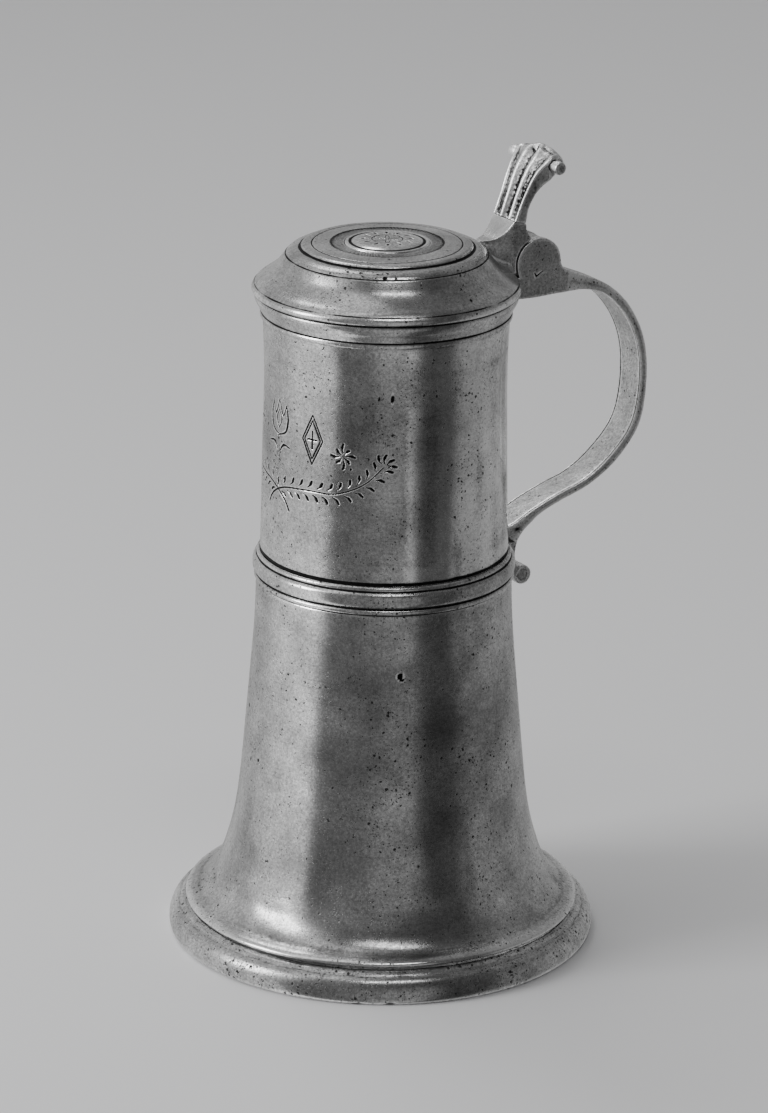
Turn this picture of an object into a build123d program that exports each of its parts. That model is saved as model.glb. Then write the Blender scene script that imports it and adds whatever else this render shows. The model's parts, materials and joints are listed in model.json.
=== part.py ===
from build123d import *
import os
from math import cos, radians, sin

# A tall pewter flagon tankard: a bell-shaped skirt on a broad foot, a straight drum above a girdle,
# a hinged domed lid with a fluted thumbpiece, and a strap handle that ends in a small scroll.
# Millimetres, +Z up. The origin is the centre of the foot's underside, on the axis of the drum,
# and the handle stands towards +X. The lid turns about a pin that lies along Y.

# Heights of the joints between the pieces, measured from the table.
foot_height = 11.3
base_plate_low = 22.0
base_plate_high = 24.8
girdle_low = 129.8
girdle_bead_low = 132.1
drum_low = 135.0
girdle_bead_high = 138.0
girdle_high = 139.7
mouth_band_low = 222.7
mouth_band_groove = 224.7
rim_height = 230.9
lid_low = 231.2
bezel_low = 226.8
bezel_high = 235.2
lid_cove_low = 234.4
lid_groove = 244.2
lid_disc = 247.0
medallion_high = 248.9

# Radii about the axis of the drum.
foot_radius = 74.6
foot_hollow_radius = 66.2
foot_joint_radius = 68.7
base_plate_radius = 55.0
girdle_seat_radius = 42.9
girdle_bead_radius = 45.4
skirt_bore_radius = 40.3
drum_waist_radius = 41.8
mouth_seat_radius = 42.1
mouth_radius = 39.6
rim_radius = 45.0
lid_radius = 46.0
bezel_radius = 39.0
bezel_bore_radius = 37.3
bezel_mouth_radius = 38.5
disc_radius = 29.4
dotted_ring_radius = 19.2
medallion_radius = 14.5

# Handle, hinge and thumbpiece.
strap_width = 14.0
tail_width = 10.0
block_seam = 68.0
tail_seam = 134.0
block_low = 222.6
block_high = 230.6
inside_drum_wall = 40.8
scroll_centre = (53.7, 121.7)
scroll_radius = 3.5
hinge_centre = (56.8, 234.7)
ear_radius = 8.85
slot_radius = 10.0
slot_width = 7.6
knuckle_width = 7.0
knuckle_radius = 8.6
lug_recess_radius = 9.6
lug_width = 14.5
neck_low_angle = 190.0
neck_high_angle = 110.0
pin_radius = 2.0
pin_clearance = 0.05
pin_length = 12.4
thumb_low = 250.0
thumb_span = 40.0
knob_centre = (59.4, 12.8, 269.5)
knob_radius = 2.8


def about_hinge(radius, angle):
    """Point of the side view at a distance and an angle from the hinge axis."""
    turn = radians(angle)
    return hinge_centre[0] + radius * cos(turn), hinge_centre[1] + radius * sin(turn)


# ---------------------------------------------------------------- vessel, turned pieces

# Foot: a heavy rounded ring that meets the skirt in a groove.
with BuildPart() as foot_ring:
    with BuildSketch(Plane.XZ):
        with BuildLine():
            roll = Spline(
                (foot_radius - 1.2, 0),
                (foot_radius, 3.0),
                (foot_radius - 1.4, 7.0),
                (foot_joint_radius + 1.9, 10.4),
                (foot_joint_radius, foot_height),
            )
            Polyline(
                roll @ 1,
                (foot_hollow_radius, foot_height),
                (foot_hollow_radius, 0),
                roll @ 0,
            )
        make_face()
    revolve(axis=Axis.Z)

# Skirt: the bell of the body. It carries a seat for the girdle at its neck and a seat for the
# base plate inside.
with BuildPart() as skirt:
    with BuildSketch(Plane.XZ):
        with BuildLine():
            shoulder = Spline(
                (foot_joint_radius, foot_height),
                (foot_joint_radius + 0.4, 12.4),
                (67.4, 13.6),
                (63.6, 15.4),
                (59.7, 19.8),
                (56.4, 27.0),
                (53.4, 37.0),
                (50.7, 50.0),
                (48.4, 74.0),
                (46.3, 98.0),
                (44.1, girdle_low),
            )
            Polyline(
                shoulder @ 1,
                (girdle_seat_radius, girdle_low),
                (girdle_seat_radius, drum_low),
                (skirt_bore_radius, drum_low),
            )
            Line((skirt_bore_radius, drum_low), (skirt_bore_radius, girdle_low - 2))
            bell = Spline(
                (skirt_bore_radius, girdle_low - 2),
                (42.7, 110.0),
                (45.9, 74.0),
                (48.1, 50.0),
                (50.8, 37.0),
                (base_plate_radius, base_plate_high),
            )
            Line(bell @ 1, (base_plate_radius, base_plate_low))
            flare = Spline(
                (base_plate_radius, base_plate_low),
                (58.0, 17.0),
                (62.0, 13.2),
                (foot_hollow_radius, foot_height),
            )
            Line(flare @ 1, shoulder @ 0)
        make_face()
    revolve(axis=Axis.Z)

# Base plate: the flat floor of the vessel, soldered inside the skirt above the hollow foot.
with BuildPart() as base_plate:
    with BuildSketch(Plane.XY.offset(base_plate_low)):
        Circle(base_plate_radius)
    extrude(amount=base_plate_high - base_plate_low)

# Drum: the straight upper body, very slightly waisted.
with BuildPart() as drum:
    with BuildSketch(Plane.XZ):
        with BuildLine():
            Line((girdle_seat_radius, drum_low), (girdle_seat_radius, girdle_high))
            side = Spline(
                (girdle_seat_radius, girdle_high),
                (42.5, 158.0),
                (drum_waist_radius + 0.3, 185.0),
                (drum_waist_radius, 208.0),
                (mouth_seat_radius, mouth_band_low),
            )
            Polyline(
                side @ 1,
                (mouth_seat_radius, rim_height),
                (mouth_radius, rim_height),
                (skirt_bore_radius, drum_low),
                (girdle_seat_radius, drum_low),
            )
        make_face()
    revolve(axis=Axis.Z)

# Girdle: a bead between two fillets, soldered over the joint of drum and skirt.
with BuildPart() as girdle_band:
    with BuildSketch(Plane.XZ):
        with BuildLine():
            ThreePointArc(
                (44.2, girdle_low), (44.9, 130.9), (44.4, girdle_bead_low)
            )
            ThreePointArc(
                (44.4, girdle_bead_low),
                (girdle_bead_radius, drum_low),
                (44.0, girdle_bead_high),
            )
            ThreePointArc(
                (44.0, girdle_bead_high), (44.1, 138.9), (43.4, girdle_high)
            )
            Polyline(
                (43.4, girdle_high),
                (girdle_seat_radius, girdle_high),
                (girdle_seat_radius, girdle_low),
                (44.2, girdle_low),
            )
        make_face()
    revolve(axis=Axis.Z)

# Mouth band: a small bead under a flaring lip, round the top of the drum.
with BuildPart() as mouth_band:
    with BuildSketch(Plane.XZ):
        with BuildLine():
            ThreePointArc(
                (42.3, mouth_band_low), (42.9, 223.7), (42.8, mouth_band_groove)
            )
            lip = Spline(
                (42.8, mouth_band_groove),
                (43.5, 226.2),
                (44.4, 228.4),
                (rim_radius, rim_height - 0.6),
                (rim_radius - 0.3, rim_height),
            )
            Polyline(
                lip @ 1,
                (mouth_seat_radius, rim_height),
                (mouth_seat_radius, mouth_band_low),
                (42.3, mouth_band_low),
            )
        make_face()
    revolve(axis=Axis.Z)

# ---------------------------------------------------------------- handle and hinge

# Hinge block: the root of the handle against the mouth band, with two round ears and the slot
# between them for the knuckle of the lid.
with BuildPart() as hinge_block:
    with BuildSketch(Plane.XZ):
        with BuildLine():
            Polyline(
                (inside_drum_wall, block_low),
                (block_seam, 223.1),
                (block_seam, 231.3),
                (hinge_centre[0] + ear_radius - 0.6, hinge_centre[1] - 2.6),
                (hinge_centre[0], block_high),
                (inside_drum_wall, block_high),
                (inside_drum_wall, block_low),
            )
        make_face()
        with Locations(hinge_centre):
            Circle(ear_radius)
    extrude(amount=strap_width / 2, both=True)
    with BuildSketch(Plane.XZ):
        with Locations(hinge_centre):
            Circle(slot_radius)
    extrude(amount=slot_width / 2, both=True, mode=Mode.SUBTRACT)
    with BuildSketch(Plane.XZ):
        with Locations(hinge_centre):
            Circle(pin_radius)
    extrude(amount=strap_width, both=True, mode=Mode.SUBTRACT)
    add(drum.part, mode=Mode.SUBTRACT)
    add(mouth_band.part, mode=Mode.SUBTRACT)

# Strap: an even band that leaves the block, turns down and sweeps back to the girdle.
with BuildPart() as handle_strap:
    with BuildSketch(Plane.XZ):
        with BuildLine():
            outer = Spline(
                (block_seam, 231.3),
                (78.2, 226.6),
                (89.2, 220.4),
                (97.0, 211.5),
                (101.5, 200.0),
                (102.9, 187.0),
                (101.2, 173.8),
                (93.6, 161.2),
                (80.8, 151.8),
                (65.5, 146.3),
                (55.2, 140.6),
                (51.3, tail_seam),
            )
            inner = Spline(
                (inside_drum_wall, 139.2),
                (47.6, 140.6),
                (54.8, 144.9),
                (66.0, 149.5),
                (78.4, 153.8),
                (89.2, 161.4),
                (96.6, 170.4),
                (99.8, 184.5),
                (98.0, 201.6),
                (91.5, 213.3),
                (83.0, 220.8),
                (76.0, 222.8),
                (block_seam, 223.1),
            )
            Line(inner @ 1, outer @ 0)
            Polyline(outer @ 1, (inside_drum_wall, tail_seam), inner @ 0)
        make_face()
    extrude(amount=strap_width / 2, both=True)
    add(drum.part, mode=Mode.SUBTRACT)
    add(skirt.part, mode=Mode.SUBTRACT)
    add(girdle_band.part, mode=Mode.SUBTRACT)

# Tail: the thin end of the strap, bent down over the girdle and rolled into a scroll.
with BuildPart() as handle_tail:
    with BuildSketch(Plane.XZ):
        with BuildLine():
            tail_outer = Spline(
                (51.3, tail_seam), (50.6, 130.2), (51.0, 126.8), (52.8, 124.4)
            )
            tail_inner = Spline(
                (50.4, 121.2), (48.0, 125.8), (46.4, girdle_low), (46.0, 131.6)
            )
            Line(tail_outer @ 1, tail_inner @ 0)
            Polyline(tail_inner @ 1, (inside_drum_wall, 131.6), (inside_drum_wall, tail_seam), tail_outer @ 0)
        make_face()
        with Locations(scroll_centre):
            Circle(scroll_radius)
    extrude(amount=tail_width / 2, both=True)
    add(skirt.part, mode=Mode.SUBTRACT)
    add(girdle_band.part, mode=Mode.SUBTRACT)

# Pin: it is fixed in both ears and turns in the knuckle, and a plug hides each of its ends.
with BuildPart() as hinge_pin:
    with BuildSketch(Plane.XZ):
        with Locations(hinge_centre):
            Circle(pin_radius)
    extrude(amount=pin_length / 2, both=True)

with BuildPart() as pin_plug_right:
    with BuildSketch(Plane.XZ.offset(pin_length / 2)):
        with Locations(hinge_centre):
            Circle(pin_radius)
    extrude(amount=(strap_width - pin_length) / 2)

with BuildPart() as pin_plug_left:
    mirror(pin_plug_right.part, about=Plane.XZ)

# ---------------------------------------------------------------- lid

# Lid: a rolled rim, a hollow slope, a step and a low disc that carries the medallion.
with BuildPart() as lid_shell:
    with BuildSketch(Plane.XZ):
        with BuildLine():
            rim = Spline(
                (lid_radius - 0.8, lid_low),
                (lid_radius, lid_low + 1.4),
                (lid_radius - 0.8, lid_cove_low - 0.2),
                (44.9, lid_cove_low + 0.1),
            )
            slope = Spline(
                rim @ 1, (42.8, 236.0), (38.8, 239.0), (35.9, 242.5), (34.4, lid_groove)
            )
            step = Spline(
                slope @ 1, (33.4, 245.3), (31.5, 246.4), (disc_radius + 0.6, 246.7), (disc_radius, lid_disc - 0.2)
            )
            Polyline(
                step @ 1,
                (disc_radius - 0.4, 247.4),
                (25.8, 247.8),
                (dotted_ring_radius, 248.2),
                (dotted_ring_radius, 247.8),
                (medallion_radius, 248.0),
                (medallion_radius, lid_disc),
                (0, lid_disc),
                (0, 244.8),
                (28.0, 244.2),
            )
            hollow = Spline((28.0, 244.2), (33.4, 240.9), (bezel_bore_radius, bezel_high))
            Polyline(
                hollow @ 1,
                (bezel_radius, bezel_high),
                (bezel_radius, lid_low),
                rim @ 0,
            )
        make_face()
    revolve(axis=Axis.Z)

# Bezel: the ring under the lid that drops inside the mouth, tapered so that it swings clear.
with BuildPart() as lid_bezel:
    with BuildSketch(Plane.XZ):
        with BuildLine():
            Polyline(
                (bezel_bore_radius, bezel_high),
                (bezel_radius, bezel_high),
                (bezel_radius, lid_low),
                (bezel_radius - 0.2, lid_low - 0.4),
                (bezel_mouth_radius, bezel_low),
                (bezel_bore_radius - 0.3, bezel_low),
                (bezel_bore_radius, bezel_high),
            )
        make_face()
    revolve(axis=Axis.Z)

# Medallion: a turned disc let into the middle of the lid.
with BuildPart() as lid_medallion:
    with BuildSketch(Plane.XZ):
        with BuildLine():
            Polyline(
                (0, lid_disc),
                (medallion_radius, lid_disc),
                (medallion_radius, 248.4),
                (medallion_radius - 0.5, 248.7),
                (12.4, 248.7),
                (11.6, medallion_high),
                (0, medallion_high),
                (0, lid_disc),
            )
        make_face()
    revolve(axis=Axis.Z)

# Lug: the wedge on the slope of the lid that faces the ears with a hollow of the same centre.
with BuildPart() as lid_lug:
    with BuildSketch(Plane.XZ):
        with BuildLine():
            face = Spline((35.6, 243.9), (40.4, 244.6), (44.0, 247.2), (46.4, 250.7))
            recess = CenterArc(hinge_centre, lug_recess_radius, 110.0, 84.0)
            Polyline(face @ 1, (51.1, 249.4), (51.7, 246.2), recess @ 0)
            Polyline(recess @ 1, (46.6, 232.3), (44.0, 232.3), (36.0, 240.0), face @ 0)
        make_face()
    extrude(amount=lug_width / 2, both=True)
    add(lid_shell.part, mode=Mode.SUBTRACT)

# Knuckle: the middle leaf of the hinge, a barrel on the pin and a neck that reaches the lug.
with BuildPart() as hinge_knuckle:
    with BuildSketch(Plane.XZ):
        with Locations(hinge_centre):
            Circle(knuckle_radius)
        with BuildLine():
            neck = CenterArc(
                hinge_centre, lug_recess_radius, neck_high_angle, neck_low_angle - neck_high_angle
            )
            Polyline(neck @ 1, hinge_centre, neck @ 0)
        make_face()
        with Locations(hinge_centre):
            Circle(pin_radius + pin_clearance, mode=Mode.SUBTRACT)
    extrude(amount=knuckle_width / 2, both=True)

# Thumbpiece: a plate that leans back over the hinge, flares upwards and rolls over at its crown,
# with a small knob at each shoulder.
with BuildPart() as thumbpiece:
    with BuildSketch(Plane.XZ):
        with BuildLine():
            front = Spline((46.4, 250.7), (49.0, 257.8), (51.8, 264.9), (55.2, 270.8), (59.4, 275.3))
            crown = ThreePointArc(front @ 1, (63.4, 273.6), (66.9, 269.1))
            back = Spline(crown @ 1, (62.2, 267.0), (56.4, 262.8), (52.6, 256.4), (51.1, 249.4))
            Line(back @ 1, front @ 0)
        make_face()
    extrude(amount=thumb_span / 2, both=True)
    with BuildSketch(Plane.YZ):
        with BuildLine():
            flank = Spline(
                (lug_width / 2, thumb_low - 2), (7.4, 257.0), (8.5, 264.5), (10.2, 269.0), (11.6, 271.6)
            )
            arch = ThreePointArc(flank @ 1, (0, 275.6), (-11.6, 271.6))
            far_flank = Spline(
                arch @ 1, (-10.2, 269.0), (-8.5, 264.5), (-7.4, 257.0), (-lug_width / 2, thumb_low - 2)
            )
            Line(far_flank @ 1, flank @ 0)
        make_face()
    extrude(amount=2 * thumb_span + hinge_centre[0], mode=Mode.INTERSECT)
    for side_sign in (1, -1):
        with Locations((knob_centre[0], side_sign * knob_centre[1], knob_centre[2])):
            Sphere(knob_radius)

# ---------------------------------------------------------------- labels and files

pieces = {
    "foot_ring": foot_ring,
    "skirt": skirt,
    "base_plate": base_plate,
    "drum": drum,
    "girdle_band": girdle_band,
    "mouth_band": mouth_band,
    "hinge_block": hinge_block,
    "handle_strap": handle_strap,
    "handle_tail": handle_tail,
    "hinge_pin": hinge_pin,
    "pin_plug_right": pin_plug_right,
    "pin_plug_left": pin_plug_left,
    "lid_shell": lid_shell,
    "lid_bezel": lid_bezel,
    "lid_medallion": lid_medallion,
    "lid_lug": lid_lug,
    "hinge_knuckle": hinge_knuckle,
    "thumbpiece": thumbpiece,
}
os.makedirs("parts", exist_ok=True)
for name, piece in pieces.items():
    piece.part.label = name
    export_step(piece.part, f"parts/{name}.step")
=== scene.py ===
import json
from math import ceil, cos, hypot, pi, radians, sin

import bmesh
import bpy
import numpy as np
from mathutils import Matrix, Vector


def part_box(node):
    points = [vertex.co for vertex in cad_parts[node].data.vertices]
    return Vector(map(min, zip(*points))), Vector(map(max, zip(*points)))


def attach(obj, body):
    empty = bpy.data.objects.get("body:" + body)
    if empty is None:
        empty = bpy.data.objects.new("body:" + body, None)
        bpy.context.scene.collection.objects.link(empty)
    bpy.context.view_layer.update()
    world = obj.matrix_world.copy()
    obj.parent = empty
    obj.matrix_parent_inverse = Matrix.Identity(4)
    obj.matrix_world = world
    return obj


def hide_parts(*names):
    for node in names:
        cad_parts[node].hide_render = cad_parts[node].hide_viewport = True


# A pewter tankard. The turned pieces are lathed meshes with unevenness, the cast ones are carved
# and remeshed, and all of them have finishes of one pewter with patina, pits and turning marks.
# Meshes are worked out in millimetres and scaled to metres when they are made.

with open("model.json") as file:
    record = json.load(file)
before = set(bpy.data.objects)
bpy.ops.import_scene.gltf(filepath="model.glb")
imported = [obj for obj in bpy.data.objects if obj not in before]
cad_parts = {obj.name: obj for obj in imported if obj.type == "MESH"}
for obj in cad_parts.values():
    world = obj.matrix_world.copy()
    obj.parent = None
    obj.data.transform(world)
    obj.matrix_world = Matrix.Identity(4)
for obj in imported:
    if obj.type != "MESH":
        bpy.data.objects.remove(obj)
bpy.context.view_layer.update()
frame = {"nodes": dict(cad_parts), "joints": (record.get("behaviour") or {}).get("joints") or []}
MM = 0.001
X, Y, Z = 0, 1, 2


def low(node, axis):
    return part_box(node)[0][axis] / MM


def high(node, axis):
    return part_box(node)[1][axis] / MM


# Places of the pieces, from the frame.
foot_radius = high("foot_ring", Y)
foot_top = high("foot_ring", Z)
girdle_low = low("girdle_band", Z)
girdle_high = high("girdle_band", Z)
girdle_radius = high("girdle_band", Y)
drum_low = low("drum", Z)
band_low = low("mouth_band", Z)
rim_height = high("mouth_band", Z)
rim_radius = high("mouth_band", Y)
lid_low = low("lid_shell", Z)
lid_radius = high("lid_shell", Y)
medallion_radius = high("lid_medallion", Y)
medallion_low = low("lid_medallion", Z)
medallion_high = high("lid_medallion", Z)
strap_half = high("handle_strap", Y)
tail_half = high("handle_tail", Y)
lug_half = high("lid_lug", Y)
block_low = low("hinge_block", Z)
seam = high("hinge_block", X)
hinge = [v / MM for v in frame["joints"][0]["pos_m"]]
knob_reach = high("thumbpiece", Y)

# Sizes that the frame does not state.
ear_radius = 8.85
slot_radius = 10.0
slot_half = 3.8
recess_radius = 9.6
pin_hole_radius = 2.15
foot_hollow = 66.2
vessel_bore = 40.3
girdle_seat = 42.9
mouth_seat = 42.1
bezel_seat = 39.0
lid_bore = 37.3
engraved_radius = 42.2
scroll_centre = (53.7, 121.7)
knob_centre = (59.3, 269.6)
axis_gap = 0.02  # a lathed solid stops this far from the axis
relief_reach = 0.9  # how wide the surroundings are that a point's relief is measured against
FRONT = pi  # the side opposite the handle, where the engraving is centred

rng = np.random.default_rng(1742)


# ---------------------------------------------------------------- curves and meshes

def smooth_path(points, step):
    """Points at an even step along a smooth curve through the given ones."""
    p = np.array(points, float)
    along = np.r_[0, np.cumsum(np.linalg.norm(np.diff(p, axis=0), axis=1))]
    if len(p) > 2:
        slope = np.gradient(p, along, axis=0)
    else:
        slope = np.repeat((p[1:] - p[:1]) / along[1], 2, axis=0)
    t = np.linspace(0, along[-1], max(2, int(ceil(along[-1] / step)) + 1))
    k = np.clip(np.searchsorted(along, t, side="right") - 1, 0, len(p) - 2)
    span = (along[k + 1] - along[k])[:, None]
    u = (t - along[k])[:, None] / span
    start, end = (2 * u**3 - 3 * u**2 + 1), (3 * u**2 - 2 * u**3)
    leaving = (u**3 - 2 * u**2 + u) * span * slope[k]
    arriving = (u**3 - u**2) * span * slope[k + 1]
    return start * p[k] + leaving + end * p[k + 1] + arriving


def bell(value, middle, width):
    """1 at the middle, falling smoothly to nothing on both sides."""
    return np.exp(-(((value - middle) / width) ** 2))


def straight(*corners):
    """Straight runs from each corner to the next."""
    return [list(pair) for pair in zip(corners, corners[1:])]


def circle(centre, radius, start=0, end=360, count=64):
    """Points on an arc between two angles in degrees. A whole circle's last point isn't its first."""
    turns = np.radians(np.linspace(start, end, count, endpoint=end - start < 360))
    return [(centre[0] + radius * cos(t), centre[1] + radius * sin(t)) for t in turns]


def outline(runs, step, softening=2, coarse=()):
    """One closed profile from several runs of points, each a smooth curve, with its corners eased.

    The runs whose numbers are in coarse are hidden ones, and get fewer points.
    """
    parts = [smooth_path(run, step * (6 if k in coarse else 1)) for k, run in enumerate(runs)]
    same_point = 0.25 * step
    line = [parts[0][0]]
    for part in parts:
        for point in part:
            if np.linalg.norm(point - line[-1]) > same_point:
                line.append(point)
    line = np.array(line)
    if np.linalg.norm(line[0] - line[-1]) < same_point:
        line = line[:-1]
    for _ in range(softening):
        line = (np.roll(line, 1, 0) + 2 * line + np.roll(line, -1, 0)) / 4
    return line


def grid_faces(rows, columns, wrap_rows, wrap_columns):
    """Quads of a grid of points, row by row."""
    i = np.arange(rows if wrap_rows else rows - 1)
    j = np.arange(columns if wrap_columns else columns - 1)
    a, b = np.meshgrid(i, j, indexing="ij")
    c, d = (a + 1) % rows, (b + 1) % columns
    corners = [a * columns + b, a * columns + d, c * columns + d, c * columns + b]
    return np.stack(corners, -1).reshape(-1, 4)


def new_object(name, points, faces):
    """A mesh object in millimetres."""
    mesh = bpy.data.meshes.new(name)
    corners = [tuple(p) for p in np.asarray(points).tolist()]
    mesh.from_pydata(corners, [], [tuple(f) for f in np.asarray(faces).tolist()])
    obj = bpy.data.objects.new(name, mesh)
    bpy.context.scene.collection.objects.link(obj)
    return obj


def opened(mesh):
    bm = bmesh.new()
    bm.from_mesh(mesh)
    return bm


def closed(bm, obj):
    """Turns every face outwards and puts the mesh back in its object."""
    bmesh.ops.recalc_face_normals(bm, faces=bm.faces)
    bm.to_mesh(obj.data)
    bm.free()


def outward(obj, merge=0):
    """Turns every face outwards, joining doubled points first if asked."""
    bm = opened(obj.data)
    if merge:
        bmesh.ops.remove_doubles(bm, verts=bm.verts, dist=merge)
    closed(bm, obj)


def read_points(mesh):
    co = np.empty(len(mesh.vertices) * 3)
    mesh.vertices.foreach_get("co", co)
    return co.reshape(-1, 3)


def write_points(mesh, points):
    mesh.vertices.foreach_set("co", np.asarray(points, np.float32).ravel())
    mesh.update()


def point_normals(mesh):
    normals = np.empty(len(mesh.vertices) * 3)
    mesh.vertices.foreach_get("normal", normals)
    return normals.reshape(-1, 3)


def averaged(values, edges, times):
    """Values on the points, averaged with their neighbours several times."""
    values = np.array(values, float)
    count = np.bincount(edges.ravel(), minlength=len(values)).astype(float)
    shape = (-1,) + (1,) * (values.ndim - 1)
    for _ in range(times):
        total = np.zeros_like(values)
        np.add.at(total, edges[:, 0], values[edges[:, 1]])
        np.add.at(total, edges[:, 1], values[edges[:, 0]])
        values = 0.5 * values + 0.5 * total / np.maximum(count, 1).reshape(shape)
    return values


def mesh_edges(mesh):
    edges = np.empty(len(mesh.edges) * 2, np.int64)
    mesh.edges.foreach_get("vertices", edges)
    return edges.reshape(-1, 2)


def relief_of(mesh):
    """How far each point stands above (+) or below (-) its surroundings, in millimetres."""
    points = read_points(mesh)
    edges = mesh_edges(mesh)
    length = np.linalg.norm(points[edges[:, 0]] - points[edges[:, 1]], axis=1).mean()
    times = int(np.clip((relief_reach / length) ** 2, 3, 40))
    return np.einsum("ij,ij->i", points - averaged(points, edges, times), point_normals(mesh))


def finish_piece(obj, body, nodes, material, relief, sharp=50.0):
    """Scales a finished mesh to metres, shades it, and gives it its material and its body."""
    mesh = obj.data
    layer = mesh.attributes.new("relief", "FLOAT", "POINT")
    layer.data.foreach_set("value", np.asarray(relief, np.float32))
    write_points(mesh, read_points(mesh) * MM)
    mesh.materials.clear()
    mesh.materials.append(material)
    mesh.polygons.foreach_set("use_smooth", np.ones(len(mesh.polygons), bool))
    mesh.set_sharp_from_angle(angle=radians(sharp))
    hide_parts(*nodes)
    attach(obj, body)


def lathe(name, line, angles, shape, material, seams, body="vessel"):
    """A closed profile of (radius, height) turned about the drum's axis.

    shape moves its points and says how dark they are. Each seam is the radius and height of a dark
    line that runs round the piece, its half width and how dark it is.
    """
    angle, radius = np.meshgrid(angles, line[:, 0], indexing="xy")
    height = np.repeat(line[:, 1:2], len(angles), axis=1)
    # Each seam paints a dark line round the piece: dirt in a joint or groove, and in places a painted shadow
    # under an edge.
    grime_and_painted_shade = np.zeros(radius.shape)
    for at, level, width, dark in seams:
        away = np.hypot(radius - at, height - level)
        worn = 0.85 + 0.3 * np.sin(5 * angle + level) * np.sin(13 * angle + at)
        grime_and_painted_shade = np.maximum(grime_and_painted_shade, dark * worn * bell(away, 0, width))
    radius, height, darkened = shape(radius, angle, height)
    grime_and_painted_shade = np.maximum(grime_and_painted_shade, darkened)
    points = np.stack([radius * np.cos(angle), radius * np.sin(angle), height], -1).reshape(-1, 3)
    obj = new_object(name + "_turned", points, grid_faces(len(line), len(angles), True, True))
    outward(obj)
    relief = relief_of(obj.data) - 0.06 * grime_and_painted_shade.ravel()
    finish_piece(obj, body, [name], material, relief)


even_turn = np.linspace(0, 2 * pi, 420, endpoint=False)
fine_turn = np.linspace(0, 2 * pi, 840, endpoint=False)


# ---------------------------------------------------------------- unevenness, dents and pits

# Each wave: lobes round the body, rise per millimetre of height, phase and size in millimetres.
waves = [
    (3, 0.012, 0.4, 0.10),
    (5, -0.017, 2.1, 0.07),
    (8, 0.011, 1.3, 0.05),
    (11, -0.021, 4.0, 0.035),
    (17, 0.013, 5.2, 0.022),
    (23, -0.009, 0.9, 0.013),
]
# Each dent: angle in degrees, height, half width round the body, half height and depth, in millimetres.
dents = [
    (247, 205, 7, 10, 0.25),
    (292, 160, 9, 7, 0.22),
    (262, 190, 4, 16, 0.16),
    (232, 88, 10, 16, 0.35),
    (275, 72, 8, 14, 0.3),
    (214, 60, 12, 10, 0.3),
    (255, 27, 7, 4, 0.4),
    (236, 19, 11, 3.5, 0.45),
    (222, 33, 7, 8, 0.3),
    (200, 20, 9, 4, 0.5),
    (292, 20, 10, 4, 0.5),
    (328, 17, 6, 3, 0.5),
    (159, 19, 6, 3, 0.5),
    (120, 100, 14, 20, 0.4),
    (60, 60, 14, 18, 0.4),
    (20, 190, 9, 14, 0.25),
    (140, 200, 8, 12, 0.25),
]

# Each hole: angle in degrees, height, half width, half height and depth, in millimetres.
holes = [
    (246.6, 108.4, 0.7, 1.0, 0.36),
    (247.3, 107.2, 0.4, 0.5, 0.3),
    (223.2, 180.3, 0.4, 0.45, 0.25),
    (242.2, 205.3, 0.5, 0.5, 0.25),
    (236.0, 205.0, 0.6, 0.3, 0.2),
    (243.8, 147.6, 0.9, 0.26, 0.12),
]

# Shallow upright dents all over the body, from planishing and long use.
for _ in range(70):
    level = rng.uniform(20, 215)
    around, width, tall = rng.uniform(0, 360), rng.uniform(3, 7), rng.uniform(8, 34)
    dents.append((around, level, width, tall, rng.uniform(0.05, 0.2)))


def uneven(angle, height):
    """How far the turned wall stands inside a true circle, in millimetres, never outside it."""
    depth = np.full(np.shape(angle), sum(size for *_, size in waves))
    for lobes, rise, phase, size in waves:
        depth = depth + size * np.sin(lobes * angle + rise * height + phase)
    return depth


def mark_power(mark, radius, angle, height):
    """How far points are from the middle of a dent or hole, squared, in its half widths."""
    away = (angle - radians(mark[0]) + pi) % (2 * pi) - pi
    return (away * radius / mark[2]) ** 2 + ((height - mark[1]) / mark[3]) ** 2


def dented(radius, angle, height):
    """Depth of all the dents together, in millimetres."""
    depth = np.zeros(np.shape(radius))
    for dent in dents:
        power = mark_power(dent, radius, angle, height)
        near = power < 9
        depth[near] += dent[-1] * np.exp(-power[near])
    return depth


def pocked(radius, angle, height):
    """Depth of the few large casting holes, in millimetres."""
    depth = np.zeros(np.shape(radius))
    for hole in holes:
        power = mark_power(hole, radius, angle, height)
        depth = np.maximum(depth, hole[-1] * np.exp(-(power**2)))
    return depth


# ---------------------------------------------------------------- engraving

def stroke(points, half_width, depth, step=0.7):
    """Short straight pieces of one engraved line: start, end, half widths and depth."""
    line = smooth_path(points, step)
    widths = np.interp(np.linspace(0, 1, len(line)), np.linspace(0, 1, len(half_width)), half_width)
    return [(*line[i], *line[i + 1], widths[i], widths[i + 1], depth) for i in range(len(line) - 1)]


def leaf(foot, direction, length, side):
    """A tadpole-shaped cut that starts as a hair line at its foot and ends round and deep."""
    d = np.array(direction) / np.linalg.norm(direction)
    n = np.array([-d[1], d[0]]) * side
    tip = np.array(foot) + d * length
    middle = np.array(foot) + d * length * 0.5 + n * length * 0.12
    return stroke([foot, middle, tip], (0.12, 0.28, 0.6, 0.46), 0.32, step=0.4)


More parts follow.
